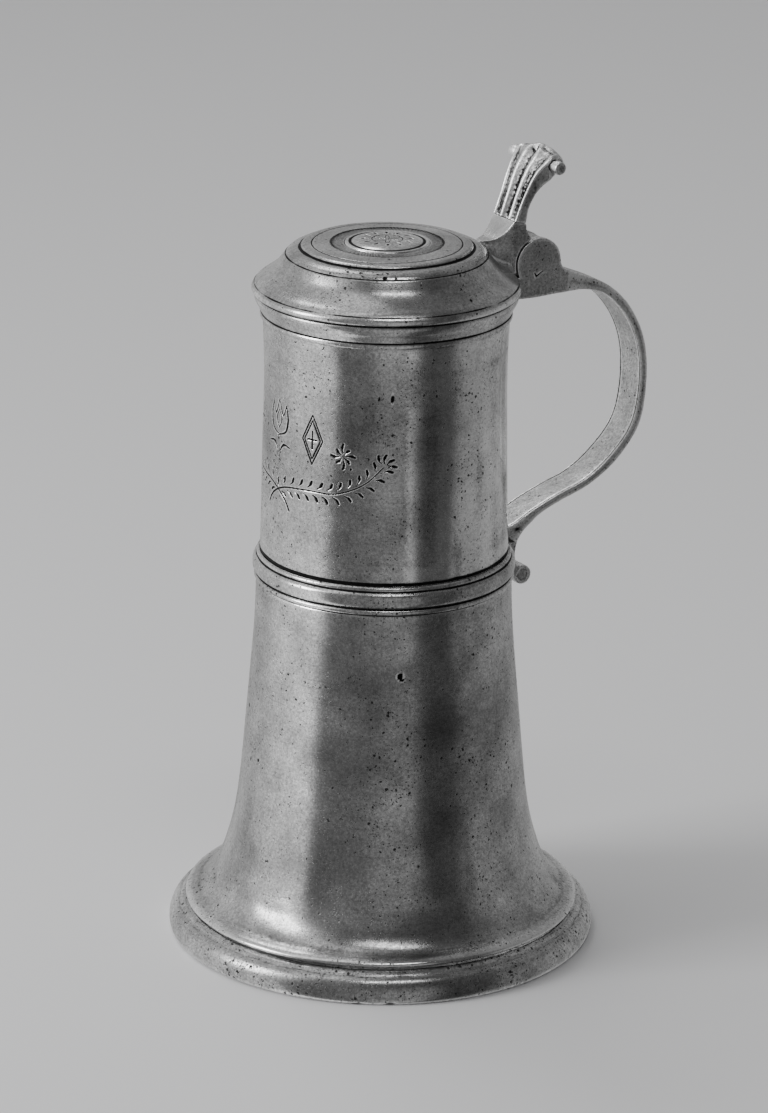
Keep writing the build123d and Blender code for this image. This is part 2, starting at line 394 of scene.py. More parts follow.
def sprig(side):
    """A curved leafy stem to one side of the front line, crossing the other one at its foot."""
    stem = [(-6.7, 161.3), (-4.9, 163.9), (-1.1, 166.8), (2.7, 168.5), (13.5, 170.3), (27.3, 171.3)]
    stem += [(37.1, 175.8), (43.0, 181.5)]
    line = smooth_path(stem, 1.0)
    cuts = stroke(stem, (0.5, 0.36, 0.32, 0.3, 0.2), 0.26)
    slope = np.gradient(line, axis=0)
    slope /= np.linalg.norm(slope, axis=1)[:, None]
    for k in range(9, len(line), 4):
        normal = np.array([-slope[k][1], slope[k][0]])
        for across in (1, -1):
            at = line[min(k + (2 if across < 0 else 0), len(line) - 1)] + normal * across * 1.2
            cuts += leaf(at, slope[k] * 0.9 + normal * across, 2.9, -across)
    tip = line[-1]
    for turn in (-55, -20, 20, 55):
        lean = radians(58 + turn)
        cuts += leaf(tip + 1.4 * np.array([cos(lean), sin(lean)]), (cos(lean), sin(lean)), 3.0, 1)
    return [(side * a, b, side * c, d, e, f, g) for a, b, c, d, e, f, g in cuts]


def arc_cut(centre, radius, start=0, end=360):
    """A fine engraved arc."""
    half_width, depth = 0.16, 0.12
    turns = np.radians(np.linspace(start, end, 25))
    points = [(centre[0] + radius * cos(t), centre[1] + radius * sin(t)) for t in turns]
    return stroke(points, (half_width, half_width), depth)


def flower(side):
    """Half of an engraved tulip on the front line."""
    cuts = stroke([(0.5, 179), (0.5, 187)], (0.3, 0.25), 0.28)
    cuts += stroke([(0, 186.5), (4.2, 188.5), (5.4, 192.5), (4.4, 197.5)], (0.25, 0.6, 0.3), 0.32)
    cuts += stroke([(4.4, 197.5), (2.6, 193.8), (0, 199)], (0.25, 0.45, 0.25), 0.3)
    cuts += stroke([(0, 189), (1.6, 192), (0, 195.5)], (0.2, 0.4, 0.2), 0.26)
    cuts += stroke([(0.2, 180.5), (3.2, 183.6), (6.6, 183.2)], (0.2, 0.6, 0.2), 0.3)
    return [(side * a, b, side * c, d, e, f, g) for a, b, c, d, e, f, g in cuts]


def lozenge(centre, half_width, half_height):
    """A double-lined lozenge with a cross inside."""
    x, z = centre
    cuts = []
    for share in (1.0, 0.78):
        wide, tall = share * half_width, share * half_height
        corners = [(x, z + tall), (x + wide, z), (x, z - tall), (x - wide, z)]
        for k in range(4):
            cuts += stroke([corners[k], corners[(k + 1) % 4]], (0.26, 0.36, 0.26), 0.28)
    cuts += stroke([(x, z - 3), (x, z + 3)], (0.4, 0.3), 0.3)
    cuts += stroke([(x - 1.8, z), (x + 1.8, z)], (0.4, 0.3), 0.3)
    return cuts


def star(centre, reach):
    """Eight small cuts about a point."""
    cuts = []
    for k in range(8):
        turn = k * pi / 4
        d = (cos(turn), sin(turn))
        foot = (centre[0] + 0.9 * d[0], centre[1] + 0.9 * d[1])
        cuts += leaf(foot, d, reach * (1.0 if k % 2 == 0 else 0.65), 1)
    return cuts


def drum_cuts():
    """The whole engraving of the drum: plain ornament, the same on both sides of the front line."""
    cuts = []
    for side in (1, -1):
        cuts += sprig(side)
        cuts += flower(side)
        cuts += lozenge((side * 17.0, 188.5), 4.2, 8.5)
        cuts += star((side * 29.0, 184.5), 3.4)
    return cuts


def cut_depth(across, height, cuts):
    """Depth of the engraving at points of a surface, with a slight burr beside each cut."""
    depth = np.zeros(across.shape)
    for a, b, c, d, first, last, deep in cuts:
        reach = 2.2 * max(first, last)
        near = (across > min(a, c) - reach) & (across < max(a, c) + reach)
        near &= (height > min(b, d) - reach) & (height < max(b, d) + reach)
        if not near.any():
            continue
        px, pz = across[near] - a, height[near] - b
        length = (c - a) ** 2 + (d - b) ** 2 + 1e-9
        t = np.clip((px * (c - a) + pz * (d - b)) / length, 0, 1)
        away = np.hypot(px - t * (c - a), pz - t * (d - b)) / (first + t * (last - first))
        cut = deep * np.clip(1 - away**2, 0, 1)
        burr = -0.12 * deep * bell(away, 1.35, 0.3)
        uncut = np.where(depth[near] > 0, depth[near], np.minimum(depth[near], burr))
        depth[near] = np.where(cut > 0, np.maximum(depth[near], cut), uncut)
    return depth


# ---------------------------------------------------------------- pewter

def node_kit(tree):
    """Helpers for a node tree: feed a socket with a number or a link, make a node, do a sum."""

    def feed(socket, value):
        if isinstance(value, bpy.types.NodeSocket):
            tree.links.new(value, socket)
        else:
            socket.default_value = value

    def node(kind, **inputs):
        made = tree.nodes.new("ShaderNode" + kind)
        for key, value in inputs.items():
            feed(made.inputs[key.replace("_", " ")], value)
        return made

    def math(kind, *values):
        made = node("Math")
        made.operation = kind
        for socket, value in zip(made.inputs, values):
            feed(socket, value)
        return made.outputs["Value"]

    return feed, node, math


def pewter(name, tone=0.5, rough=0.36, pits=1.0, turned=0.4, grain=1.0):
    """Worn pewter: mottled grey, dark in its hollows, bright on its edges, with pits and turning marks.

    Scales of the patterns are in cells per metre. tone and rough are the middle grey and roughness,
    pits and grain the strength of the pits and of the fine specks, and turned that of the marks.
    """
    mat = bpy.data.materials.new(name)
    mat.use_nodes = True
    feed, node, math = node_kit(mat.node_tree)
    shader = mat.node_tree.nodes["Principled BSDF"]
    feed(shader.inputs["Metallic"], 1.0)
    place = node("TexCoord").outputs["Object"]

    def noise(scale, detail=4.0, roughness=0.6, vector=place):
        made = node("TexNoise", Scale=scale, Detail=detail, Roughness=roughness, Vector=vector)
        return made.outputs["Fac"]

    def span(value, start, end, first, last, smooth=False):
        made = node("MapRange", Value=value, From_Min=start, From_Max=end, To_Min=first, To_Max=last)
        made.interpolation_type = "SMOOTHSTEP" if smooth else "LINEAR"
        return made.outputs["Result"]

    def plus(a, b):
        return math("ADD", a, b)

    def times(a, b):
        return math("MULTIPLY", a, b)

    # Pits are ragged, so their pattern is looked up at places that are jumbled by about a millimetre.
    jumble = node("TexNoise", Scale=1300, Vector=place)
    shift = node("VectorMath")
    shift.operation = "MULTIPLY_ADD"
    for socket, value in zip(shift.inputs, (jumble.outputs["Color"], (0.0011, 0.0011, 0.0011), place)):
        feed(socket, value)

    def pit_mask(scale, share, size, patches):
        """Round pits of many sizes: only some cells of the pattern hold one."""
        cells = node("TexVoronoi", Scale=scale, Vector=shift.outputs["Vector"])
        chance = node("SeparateColor", Color=cells.outputs["Color"])
        reach = times(span(chance.outputs["Red"], 1 - share, 1.0, 0.0, size), patches)
        return span(math("SUBTRACT", cells.outputs["Distance"], reach), -0.05, 0.02, 1.0, 0.0, smooth=True)

    relief = node("Attribute")
    relief.attribute_name = "relief"

    # Patterns, from broad clouds to the finest crumbs, and the dark and bright masks made from them.
    clouds = noise(42, 6, 0.65)
    stains = noise(15, 5, 0.7)
    speckle = noise(1000, 5, 0.8)
    crumbs = noise(3000, 3, 0.75)
    rings = noise(1.0, 3, 0.6, node("Mapping", Scale=(60, 60, 2400), Vector=place).outputs["Vector"])
    wear = plus(times(speckle, 0.03), times(clouds, 0.03))
    level = plus(relief.outputs["Fac"], math("SUBTRACT", wear, 0.03))
    hollow = span(level, -0.040, -0.006, 1.0, 0.0, smooth=True)
    ridge = span(level, 0.006, 0.035, 0.0, 1.0, smooth=True)
    patches = span(noise(55, 3, 0.6), 0.35, 0.65, 0.55, 1.25)
    specks = pit_mask(1500, 0.5, 0.42 * pits, patches)
    small_pits = pit_mask(700, 0.36, 0.36 * pits, patches)
    large_pits = pit_mask(230, 0.16, 0.17 * pits, patches)
    pitted = math("MAXIMUM", times(small_pits, 0.9), large_pits)
    pitted = math("MAXIMUM", pitted, times(specks, 0.75))
    # Hollows and pits go nearly black: patina and dirt in them, and the painted shadow that some seams put
    # into the relief attribute.
    dirt_and_shade = math("MAXIMUM", hollow, pitted)

    shade = span(clouds, 0.32, 0.68, tone * 0.60, tone * 1.32)
    shade = times(shade, span(stains, 0.36, 0.6, 0.7, 1.06, smooth=True))
    shade = times(shade, span(speckle, 0.3, 0.7, 1 - 0.42 * grain, 1 + 0.34 * grain))
    shade = times(shade, span(crumbs, 0.35, 0.65, 1 - 0.2 * grain, 1 + 0.16 * grain))
    shade = times(shade, span(rings, 0.60, 0.70, 1.0, 1 - 0.5 * turned, smooth=True))
    shade = plus(shade, times(ridge, 0.3))
    shade = times(shade, span(dirt_and_shade, 0.0, 1.0, 1.0, 0.03))
    shade = math("MINIMUM", shade, 0.92)
    colour = node("CombineColor", Red=shade, Green=shade, Blue=shade)
    feed(shader.inputs["Base Color"], colour.outputs["Color"])

    dull = span(clouds, 0.3, 0.7, rough + 0.06, rough - 0.04)
    dull = plus(dull, span(speckle, 0.3, 0.7, 0.05, -0.03))
    dull = plus(dull, times(dirt_and_shade, 0.45))
    dull = math("SUBTRACT", dull, times(ridge, 0.08))
    feed(shader.inputs["Roughness"], math("MAXIMUM", dull, 0.08))

    surface = plus(times(speckle, 0.5 * grain), times(rings, turned))
    surface = plus(surface, times(crumbs, 0.25 * grain))
    surface = math("SUBTRACT", surface, times(pitted, 0.9))
    bump = node("Bump", Strength=0.55, Distance=0.00006, Height=surface)
    feed(shader.inputs["Normal"], bump.outputs["Normal"])
    return mat


turned_pewter = pewter("pewter_turned", tone=0.50, rough=0.19, turned=0.5, grain=1.2)
foot_pewter = pewter("pewter_foot", tone=0.50, rough=0.21, pits=1.25, turned=0.3, grain=1.2)
lid_pewter = pewter("pewter_lid", tone=0.48, rough=0.22, turned=0.35, grain=1.2)
cast_pewter = pewter("pewter_cast", tone=0.54, rough=0.43, pits=0.9, turned=0.0, grain=1.4)
# The polished panel's pewter is lighter than the cast one: its polish, and a painted highlight.
polished_highlit_pewter = pewter("pewter_polished_highlit", tone=0.80, rough=0.24, pits=0.7, turned=0.0, grain=0.5)
inner_pewter = pewter("pewter_inner", tone=0.34, rough=0.45, pits=0.8, turned=0.6)


# ---------------------------------------------------------------- turned pieces of the vessel

def make_foot():
    edge, shelf = foot_radius, foot_top - 0.4
    rounded = [(edge - 1.7, 0), (edge - 0.5, 0.9), (edge - 0.05, 3.0), (edge - 0.35, 5.2), (edge - 1.2, 7.1)]
    rounded += [(edge - 2.5, 8.5), (edge - 3.6, 9.2), (edge - 4.6, 10.1), (edge - 5.5, 10.5)]
    rounded += [(edge - 6.1, shelf)]
    inside = straight(rounded[-1], (foot_hollow, shelf), (foot_hollow, 0))
    line = outline([[(foot_hollow, 0), rounded[0]], rounded, *inside], 0.4)
    # Each nick in the lower edge: angle in degrees, half width, how high it reaches and its depth.
    nicks = [(242, 1.6, 0.8, 1.1), (233, 2.2, 0.6, 0.5)]

    def shape(radius, angle, height):
        worn = 0.25 * uneven(2 * angle, 3 * height) * (height > 0.2)
        nick = 0
        for at, width, reach, deep in nicks:
            nick = nick + deep * bell((angle - radians(at)) * edge, 0, width) * np.exp(-height / reach)
        crack = 0.12 * np.sin(37 * angle) * np.sin(11 * angle + 1) * (height > foot_top - 2)
        return radius - worn, height + nick * (radius > edge - 3) + np.minimum(crack, 0), 0

    seams = [(edge - 5.6, foot_top - 0.3, 0.5, 1.0), (edge - 3.4, 9.0, 0.45, 0.3)]
    lathe("foot_ring", line, fine_turn, shape, foot_pewter, seams)


def make_skirt():
    edge = (foot_radius - 6.2, foot_top + 0.15)
    plate_radius, plate_low, plate_high = 55, 22, 24.8
    flare = [edge, (foot_radius - 5.5, 12.3), (foot_radius - 6.6, 13.3), (63.9, 15.1), (60.2, 19.0)]
    flare += [(57.0, 25.2), (54.5, 32.5), (52.1, 42.0), (50.3, 54.0), (49.0, 67.0), (47.7, 82.0)]
    flare += [(46.3, 98.0), (45.1, 112.0), (44.2, girdle_low)]
    seat_low, seat_high = (girdle_seat, girdle_low + 0.1), (girdle_seat, drum_low)
    seat = straight(flare[-1], seat_low, seat_high, (vessel_bore, drum_low))
    inside = [(vessel_bore, drum_low), (vessel_bore, girdle_low - 2), (42.7, 110), (45.9, 74), (48.1, 50)]
    inside += [(50.8, 37), (plate_radius, plate_high)]
    ledge = [(plate_radius, plate_high), (plate_radius, plate_low)]
    hollow = [(plate_radius, plate_low), (58, 17), (62, 13.2), (foot_hollow, foot_top)]
    line = outline([flare, *seat, inside, ledge, hollow, [hollow[-1], edge]], 0.6, coarse=(4, 5, 6))

    def shape(radius, angle, height):
        share = np.clip((height - foot_top) / 12, 0.25, 1) * np.clip((girdle_low + 3 - height) / 12, 0.5, 1)
        crack = 0.10 * np.sin(31 * angle + 2) * np.sin(7 * angle) * (height < foot_top + 0.8)
        hole = pocked(radius, angle, height)
        moved = radius - share * uneven(angle, height) - dented(radius, angle, height) - hole
        return moved, height + np.maximum(crack, 0), 6 * hole

    seams = [(foot_radius - 6.0, foot_top + 0.2, 0.7, 1.0), (44.1, girdle_low - 0.1, 0.7, 1.2)]
    lathe("skirt", line, even_turn, shape, turned_pewter, seams)


def make_girdle():
    top, bottom = girdle_radius, girdle_low
    lower = [(top - 1.2, bottom + 0.1), (top - 0.55, bottom + 0.5), (top - 0.45, bottom + 1.3)]
    lower += [(top - 1.0, bottom + 2.0)]
    bead = [(top - 1.0, bottom + 2.3), (top - 0.25, bottom + 3.2), (top, drum_low - 0.1)]
    bead += [(top - 0.35, drum_low + 1.9), (top - 1.3, drum_low + 2.9)]
    upper = [(top - 1.5, drum_low + 3.1), (top - 1.3, drum_low + 3.6), (top - 1.5, drum_low + 4.2)]
    upper += [(top - 2.1, girdle_high)]
    inside = straight(upper[-1], (girdle_seat, girdle_high), (girdle_seat, bottom + 0.1))
    line = outline([[inside[-1][1], lower[0]], lower, bead, upper, *inside], 0.16, softening=1)

    def shape(radius, angle, height):
        return radius - 0.45 * uneven(angle, height), height + 0.1 * np.sin(2 * angle + 1), 0

    seams = [(top - 1.0, bottom + 2.15, 0.35, 1.0), (top - 1.4, drum_low + 3.0, 0.42, 1.3)]
    seams += [(top - 2.1, girdle_high, 0.22, 0.7), (top - 1.2, bottom + 0.1, 0.5, 1.2)]
    lathe("girdle_band", line, even_turn, shape, turned_pewter, seams)


def make_drum():
    """The drum has a fine mesh only where it is engraved, and a plain one elsewhere."""
    engraved_low, engraved_high, engraved_step = 158.0, 201.0, 0.24
    wall_line = [(girdle_seat, girdle_high), (42.55, 158), (42.15, 182), (41.85, 206), (mouth_seat, band_low)]
    outer = smooth_path(wall_line, 0.5)
    fine_rows = np.arange(engraved_low, engraved_high, engraved_step)
    keep = (outer[:, 1] < engraved_low) | (outer[:, 1] > engraved_high)
    coarse = outer[keep][::3]
    rows = np.sort(np.r_[coarse[:, 1], fine_rows, girdle_high, band_low])
    brim = [(mouth_seat, rim_height - 0.3), (41.8, rim_height), (39.9, rim_height), (39.6, rim_height - 0.3)]
    line = np.r_[
        [[girdle_seat, drum_low]],
        np.c_[np.interp(rows, outer[:, 1], outer[:, 0]), rows],
        brim,
        np.c_[np.linspace(39.62, 40.28, 12), np.linspace(rim_height - 4, drum_low + 2, 12)],
        [[vessel_bore, drum_low]],
    ]
    reach = radians(68)
    fine = np.arange(FRONT - reach, FRONT + reach, engraved_step / engraved_radius)
    rest = np.linspace(FRONT + reach, FRONT - reach + 2 * pi, 96)[:-1]
    cuts = drum_cuts()

    def shape(radius, angle, height):
        share = np.clip((height - girdle_high) / 8, 0.5, 1) * np.clip((band_low + 4 - height) / 14, 0.4, 1)
        moved = radius - share * uneven(angle, height) - dented(radius, angle, height)
        outside = radius > 41.2
        across = (angle - FRONT) * engraved_radius
        depth = np.where(outside, cut_depth(across, height, cuts), 0)
        hole = pocked(radius, angle, height)
        return moved - depth - hole, height, np.clip(depth / 0.15, 0, 1.05) + 6 * hole

    seams = [(girdle_seat, girdle_high, 0.3, 0.7), (mouth_seat, band_low - 0.2, 0.6, 1.1)]
    lathe("drum", line, np.r_[fine, rest], shape, turned_pewter, seams)


def make_mouth_band():
    low_z, edge = band_low, rim_radius
    bead = [(42.7, low_z), (42.95, low_z + 0.5), (43.0, low_z + 1.2), (42.65, low_z + 1.9)]
    lip = [(42.7, low_z + 2.1), (43.15, low_z + 3.0), (43.7, low_z + 4.2), (44.5, low_z + 5.7)]
    lip += [(edge - 0.05, low_z + 7.3), (edge - 0.25, rim_height - 0.2)]
    brim = [lip[-1], (edge - 0.8, rim_height), (mouth_seat, rim_height)]
    inside = [(mouth_seat, rim_height), (mouth_seat, low_z)]
    line = outline([[(mouth_seat, low_z), bead[0]], bead, lip, brim, inside], 0.18, softening=1)

    def shape(radius, angle, height):
        return radius - 0.35 * uneven(angle, height), height, 0

    seams = [(42.6, low_z + 2.0, 0.40, 1.2), (42.4, low_z, 0.55, 1.3), (44.9, rim_height, 0.5, 0.9)]
    lathe("mouth_band", line, even_turn, shape, turned_pewter, seams)


# ---------------------------------------------------------------- turned pieces of the lid

# The lid's outer face from the rim to the disc.
lid_rim = [(lid_radius - 2.4, lid_low), (lid_radius - 0.9, lid_low + 0.1), (lid_radius - 0.1, lid_low + 0.9)]
lid_rim += [(lid_radius - 0.15, lid_low + 1.9), (lid_radius - 0.9, lid_low + 2.9)]
lid_slope = [(lid_radius - 1.1, lid_low + 3.15), (44.1, 235.1), (42.0, 236.5), (39.5, 238.4), (37.3, 240.5)]
lid_slope += [(35.8, 242.6), (34.75, 244.1)]
lid_fillet = [(34.5, 244.15), (33.7, 245.1), (32.4, 245.9), (30.9, 246.35), (29.7, 246.5)]
lid_disc = [(29.35, 246.75), (29.1, 247.25), (28.6, 247.5), (25.9, 247.8)]


def lid_height(radius):
    """Height of the lid's outer face at a radius."""
    line = np.array(lid_rim[2:] + lid_slope + lid_fillet + lid_disc)[::-1]
    return np.interp(radius, line[:, 0], line[:, 1])


def make_lid():
    bezel_top = 235.2
    under = [(28.0, 244.2), (33.4, 240.9), (lid_bore, bezel_top)]
    ring_groove = [(19.2, 248.08), (18.9, 248.02), (15.2, 248.12), (medallion_radius, 248.1)]
    line = outline(
        [
            [(bezel_seat, lid_low), lid_rim[0]],
            lid_rim,
            lid_slope,
            lid_fillet,
            lid_disc,
            [(25.7, 247.62), (25.5, 247.62)],
            [(25.3, 247.84), (19.5, 248.15)],
            ring_groove,
            [(medallion_radius, medallion_low), (axis_gap, medallion_low)],
            [(axis_gap, 244.8), under[0]],
            under,
            *straight(under[-1], (bezel_seat, bezel_top), (bezel_seat, lid_low)),
        ],
        0.28,
        softening=1,
        coarse=(8, 9, 10, 11, 12),
    )

    def shape(radius, angle, height):
        share = np.clip(radius / lid_radius, 0, 1)
        worn = 0.6 * share * uneven(angle + 1.0, 2 * height)
        height = height - 0.05 * np.sin(4 * angle + 0.16 * radius)
        radius = radius - worn
        rough = (radius > medallion_radius + 0.4) & (radius < 19.6) & (height > 247)
        dots = 0.05 * np.sin(radius * 7 + 3 * np.sin(9 * angle)) * np.sin(90 * angle + radius * 5)
        ring = bell(radius, 19.1, 0.45) * (height > 247) * (0.7 + 0.5 * np.sin(105 * angle))
        return radius, height + np.where(rough, dots, 0), ring + 0.30 * rough

    # Dark lines round the lid: dirt in its joints and grooves, and at radius 29.5 a broad painted shadow
    # under the disc's edge.
    seams = [(lid_radius - 1.0, lid_low + 3.05, 0.34, 1.0), (lid_radius - 0.6, lid_low, 0.6, 1.0)]
    seams += [(34.5, 244.15, 0.32, 1.0), (29.5, 246.6, 0.65, 1.0), (27.5, 247.65, 0.12, 0.35)]
    seams += [(25.6, 247.6, 0.24, 1.0), (medallion_radius + 0.2, 248.1, 0.35, 0.9)]
    lathe("lid_shell", line, even_turn, shape, lid_pewter, seams, body="lid")


def make_medallion():
    top, edge = medallion_high, medallion_radius - 0.05
    rows = outline(
        [
            [(edge, medallion_low), (edge, top - 0.75)],
            [(edge, top - 0.75), (medallion_radius - 0.6, top - 0.4), (13.2, top - 0.45)],
            [(12.9, top - 0.62), (12.3, top - 0.6)],
            [(12.1, top - 0.35), (11.3, top - 0.05), (0.4, top)],
            *straight((0.4, top), (axis_gap, top), (axis_gap, medallion_low), (edge, medallion_low)),
        ],
        0.22,
        softening=1,
    )
    cuts = []
    petals, rays, reach, ray_foot = 6, 12, 5.2, 6.6
    for turn in range(0, 360, 360 // petals):
        centre = (reach * cos(radians(turn)), reach * sin(radians(turn)))
        cuts += arc_cut(centre, reach, turn + 120, turn + 240)
    cuts += arc_cut((0, 0), reach)
    for turn in range(0, 360, 360 // rays):
        way = (cos(radians(turn)), sin(radians(turn)))
        cuts += leaf((ray_foot * way[0], ray_foot * way[1]), way, 1.8, 1)

    def shape(radius, angle, height):
        depth = cut_depth(radius * np.cos(angle), radius * np.sin(angle), cuts)
        depth = np.where(height > top - 0.2, depth, 0)
        return radius, height - depth, np.clip(depth / 0.08, 0, 1)

    seams = [(medallion_radius, top - 0.9, 0.4, 1.0), (12.6, top - 0.62, 0.3, 0.8)]
    lathe("lid_medallion", rows, even_turn, shape, lid_pewter, seams, body="lid")


# ---------------------------------------------------------------- cast pieces

def modify(obj, kind, **settings):
    """Adds a modifier and applies it."""
    modifier = obj.modifiers.new(kind.lower(), kind)
    for key, value in settings.items():
        setattr(modifier, key, value)
    depsgraph = bpy.context.evaluated_depsgraph_get()
    made = bpy.data.meshes.new_from_object(obj.evaluated_get(depsgraph))
    obj.modifiers.clear()
    old, obj.data = obj.data, made
    bpy.data.meshes.remove(old)


def prism(name, first, second):
    """A solid between two rings of points that match one to one."""
    n = len(first)
    obj = new_object(name, first + second, [])
    bm = opened(obj.data)
    bm.verts.ensure_lookup_table()
    bm.faces.new([bm.verts[k] for k in range(n)])
    bm.faces.new([bm.verts[n + k] for k in range(n)][::-1])
    for k in range(n):
        after = (k + 1) % n
        bm.faces.new([bm.verts[k], bm.verts[n + k], bm.verts[n + after], bm.verts[after]])
    bmesh.ops.recalc_face_normals(bm, faces=bm.faces)
    bmesh.ops.triangulate(bm, faces=[f for f in bm.faces if len(f.verts) > 4])
    closed(bm, obj)
    return obj


def slab(name, line, near, far):
    """A closed outline in the side view, (x, z), made solid from y = near to y = far."""
    line = [p for k, p in enumerate(line) if hypot(p[0] - line[k - 1][0], p[1] - line[k - 1][1]) > 0.02]
    return prism(name, [(x, near, z) for x, z in line], [(x, far, z) for x, z in line])


def wall_cutter(radius, low_z, high_z):
    """A plain round bar along the drum's axis, to hollow a casting where it meets the wall."""
    ring = circle((0, 0), radius, count=240)
    return prism("wall", [(x, y, low_z) for x, y in ring], [(x, y, high_z) for x, y in ring])


def combine(obj, other, operation):
    """Boolean of two meshes. The second one is used up."""
    modify(obj, "BOOLEAN", object=other, operation=operation, solver="EXACT")
    bpy.data.objects.remove(other)
    outward(obj, merge=0.001)


def remesh(obj, size, smoothing, rounds):
    modify(obj, "REMESH", mode="VOXEL", voxel_size=size)
    modify(obj, "SMOOTH", factor=smoothing, iterations=rounds)


def roughen(obj, size=0.02):
    """The slight lumpiness of a casting, in millimetres along the normals."""
    points = read_points(obj.data)
    lumps = np.zeros(len(points))
    for k in range(7):
        wave = rng.normal(size=3) * (0.5 + 0.5 * k)
        lumps += np.sin(points @ wave + rng.uniform(0, 2 * pi)) / (1 + 0.6 * k)
    write_points(obj.data, points - point_normals(obj.data) * (size * lumps)[:, None])


def finish_cast(obj, body, nodes, relief, sharp=50.0):
    finish_piece(obj, body, nodes, cast_pewter, relief, sharp)


def softened_relief(obj, share, deepest):
    """Part of a casting's relief, so that no wide hollow of it turns black."""
    return np.maximum(share * relief_of(obj.data), -deepest)


def make_block():
    """The handle's root with both ears of the hinge and the plugs that close them."""
    centre = (hinge[X], hinge[Z])
    ear = circle(centre, ear_radius, 2, 208, 60)
    under = [(seam + 1.4, 223.1), (62, 222.9), (55, 222.7), (49, block_low + 0.3), (43.0, block_low + 0.9)]
    flow = [(seam + 1.4, 230.55), (seam, 231.15), (67.2, 231.6), (66.5, 232.3), (66.0, 233.2), (65.75, 234.2)]
    line = [tuple(p) for p in smooth_path(under, 1.0)[::-1]] + flow + ear + [(48.6, 230.5), (43.0, 230.5)]
    block = slab("hinge_block_cast", line, -strap_half, strap_half)
    combine(block, slab("slot", circle(centre, slot_radius), -slot_half, slot_half), "DIFFERENCE")
    combine(block, slab("pin_hole", circle(centre, pin_hole_radius), -5.5, 5.5), "DIFFERENCE")
    combine(block, wall_cutter(rim_radius - 0.9, band_low + 2.6, 240), "DIFFERENCE")
    combine(block, wall_cutter(43.0, band_low - 4, band_low + 4), "DIFFERENCE")
    remesh(block, 0.22, 0.5, 5)
    # A small scratched tick on one ear.
    points, normals = read_points(block.data), point_normals(block.data)
    tick = stroke([(54.9, 231.5), (55.6, 230.3)], (0.2, 0.35), 0.35)
    tick += stroke([(55.6, 230.3), (58.2, 231.9)], (0.35, 0.15), 0.3)
    scratch = np.maximum(cut_depth(points[:, X], points[:, Z], tick), 0) * (points[:, Y] < -5.5)
    roughen(block)
    write_points(block.data, read_points(block.data) - normals * scratch[:, None])
    relief = relief_of(block.data) - 0.3 * scratch
    finish_cast(block, "vessel", ["hinge_block", "pin_plug_left", "pin_plug_right"], relief)


def make_strap():
    """The strap, from sections along its course, with a shallow rim on both edges of its inner face."""
    step, half = 0.35, strap_half
    # Each key: x and z of the section's middle on the inner face, then on the outer one.
    keys = [(seam - 0.4, 223.1, seam - 0.4, 231.2), (76.0, 222.8, 77.0, 227.3), (83.0, 220.8, 84.9, 223.7)]
    keys += [(91.5, 213.3, 93.9, 215.7), (98.0, 201.6, 100.9, 202.6), (99.8, 184.5, 102.7, 184.5)]
    keys += [(96.6, 170.4, 99.6, 169.4), (89.2, 161.4, 91.3, 159.0), (78.4, 153.8, 79.6, 151.2)]
    keys += [(66.0, 149.5, 67.2, 146.9), (54.8, 144.9, 57.4, 142.3), (47.8, 140.9, 52.6, 137.2)]
    keys += [(42.9, 139.6, 51.2, 133.9)]
    stations = smooth_path(keys, step)
    # Points of a section: y, and the depth below the inner or the outer face.
    rim = [(0.05, 0.35), (0.3, 0.05), (0.65, 0.0), (1.0, 0.28), (1.35, 0.08)]
    inner = [(y - half, d) for y, d in rim]
    inner += [(y, 0.05) for y in np.linspace(-half + 2.0, half - 2.0, 21)]
    inner += [(-y, d) for y, d in inner[4::-1]]
    outer = [(half - 0.05, 0.55), (half - 0.35, 0.2), (half - 1.0, 0.12)]
    outer += [(y, 0.12 * (y / half) ** 2) for y in np.linspace(half - 2.0, -half + 2.0, 15)]
    outer += [(-y, d) for y, d in outer[2::-1]]
    side = [0.25, 0.5, 0.75]
    points = []
    to_end = np.arange(len(stations))[::-1] * step
    narrowing = np.interp(to_end, [0, 14], [tail_half / half, 1.0])
    for (xi, zi, xo, zo), share in zip(stations, narrowing):
        way = np.array([xo - xi, zo - zi])
        thick = np.linalg.norm(way)
        way = way / thick
        walls = [0.35 + s * (thick - 0.9) for s in side]
        ring = [(y, d) for y, d in inner]
        ring += [(half, d) for d in walls]
        ring += [(y, thick - d) for y, d in outer]
        ring += [(-half, d) for d in walls[::-1]]
        points += [(xi + way[0] * d, y * share, zi + way[1] * d) for y, d in ring]
    count = len(inner) + len(outer) + 2 * len(side)
    faces = grid_faces(len(stations), count, False, True).tolist()
    strap = new_object("handle_strap_cast", points, faces)
    bm = opened(strap.data)
    bmesh.ops.holes_fill(bm, edges=bm.edges, sides=0)
    closed(bm, strap)
    combine(strap, wall_cutter(42.75, 130, 160), "DIFFERENCE")
    combine(strap, wall_cutter(girdle_radius - 0.5, 130, girdle_high - 1.4), "DIFFERENCE")
    outward(strap, merge=0.002)
    roughen(strap, 0.015)
    beside = np.abs(read_points(strap.data)[:, Y]) - (half - 1.0)
    relief = relief_of(strap.data) - 0.05 * bell(beside, 0, 0.3)
    finish_cast(strap, "vessel", ["handle_strap"], relief, sharp=70)


